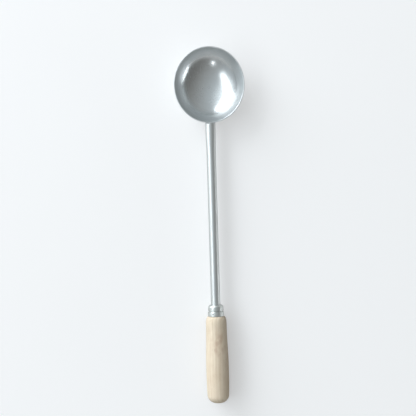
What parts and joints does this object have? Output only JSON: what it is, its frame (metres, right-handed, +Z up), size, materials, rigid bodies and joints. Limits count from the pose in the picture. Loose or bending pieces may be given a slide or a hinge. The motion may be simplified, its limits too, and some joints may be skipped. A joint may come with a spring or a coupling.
{
  "type": "soup ladle",
  "caption": "Long-handled soup ladle: a polished steel bowl welded to a straight steel tube, with a crimped ferrule and a turned pale wooden grip, for stirring and serving.",
  "frame": {"origin": "on the table, under the middle of the ladle as it lies at rest", "axes": "+Y along the ladle from the grip to the bowl, +Z up out of the bowl, +X across the bowl"},
  "size_m": [0.091, 0.4556, 0.0343],
  "materials": {
    "bowl_steel": "polished",
    "tube_steel": "polished along its length",
    "weld_steel": "ground and polished",
    "ferrule_steel": "pressed, bright",
    "nail_steel": "plain",
    "grip_wood": "sanded, unvarnished"
  },
  "bodies": {
    "root": {"bowl": "bowl_steel", "shank_tube": "tube_steel", "neck_weld": "weld_steel", "ferrule": "ferrule_steel", "ferrule_nail": "nail_steel", "grip": "grip_wood"}
  },
  "joints": []
}
